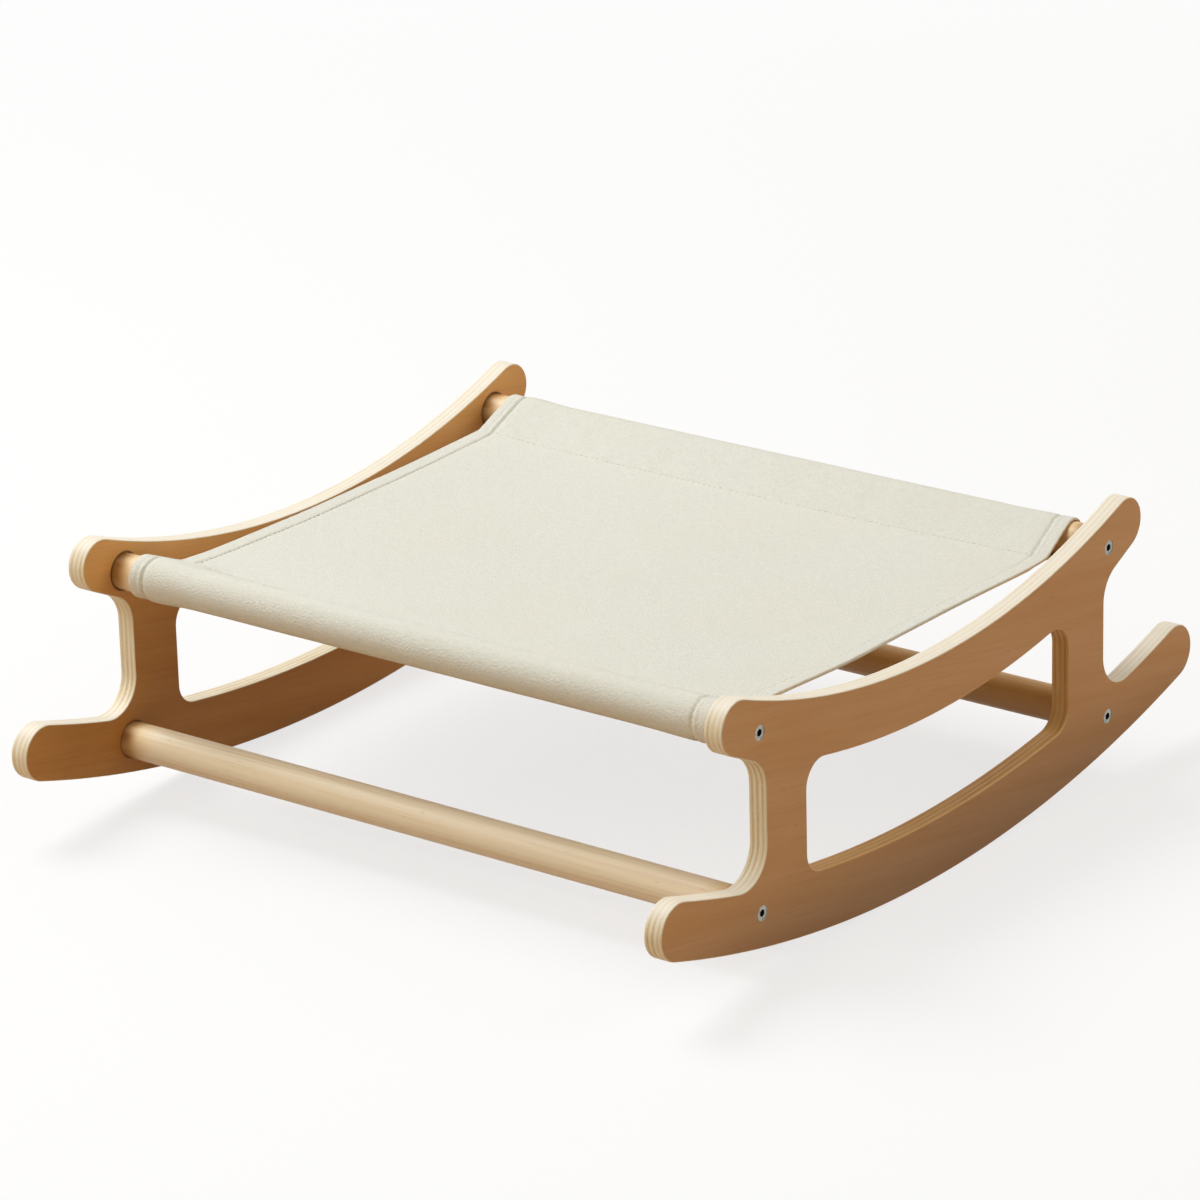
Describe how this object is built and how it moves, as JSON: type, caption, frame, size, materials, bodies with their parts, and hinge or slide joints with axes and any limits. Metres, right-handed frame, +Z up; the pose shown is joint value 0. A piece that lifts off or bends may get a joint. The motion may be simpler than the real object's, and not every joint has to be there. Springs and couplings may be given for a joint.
{
  "type": "rocking pet hammock",
  "caption": "Low rocking pet hammock: a sewn canvas sling on round rails between plywood rocker sides, tied by lower stretchers and flush hex screws.",
  "frame": {"origin": "middle of the footprint, on the floor under the lowest line of the rockers", "axes": "+X along the rails towards the right side panel, +Y along the rockers towards the rear rail, +Z up"},
  "size_m": [0.471, 0.535, 0.1705],
  "materials": {
    "plywood": "birch plywood, clear matt oil, pale laminated edges",
    "dowel": "turned beech, clear matt oil",
    "canvas": "off-white plain-weave cotton canvas",
    "steel": "zinc-plated, satin",
    "brass": "plain turned"
  },
  "bodies": {
    "frame": {"left_side_panel": "plywood", "right_side_panel": "plywood", "front_top_rail": "dowel", "rear_top_rail": "dowel", "front_stretcher": "dowel", "rear_stretcher": "dowel", "front_sleeve": "canvas", "rear_sleeve": "canvas", "front_top_rail_left_insert": "brass", "front_top_rail_right_insert": "brass", "rear_top_rail_left_insert": "brass", "rear_top_rail_right_insert": "brass", "front_stretcher_left_insert": "brass", "front_stretcher_right_insert": "brass", "rear_stretcher_left_insert": "brass", "rear_stretcher_right_insert": "brass", "front_top_rail_left_screw": "steel", "front_top_rail_right_screw": "steel", "rear_top_rail_left_screw": "steel", "rear_top_rail_right_screw": "steel", "front_stretcher_left_screw": "steel", "front_stretcher_right_screw": "steel", "rear_stretcher_left_screw": "steel", "rear_stretcher_right_screw": "steel"},
    "sling": {"sling_seat": "canvas"}
  },
  "joints": [
    {"name": "sling_dip", "type": "slide", "parent": "frame", "child": "sling", "axis": [0, 0, -1], "range_m": [0, 0.025], "stiffness_N_per_m": 1800}
  ]
}
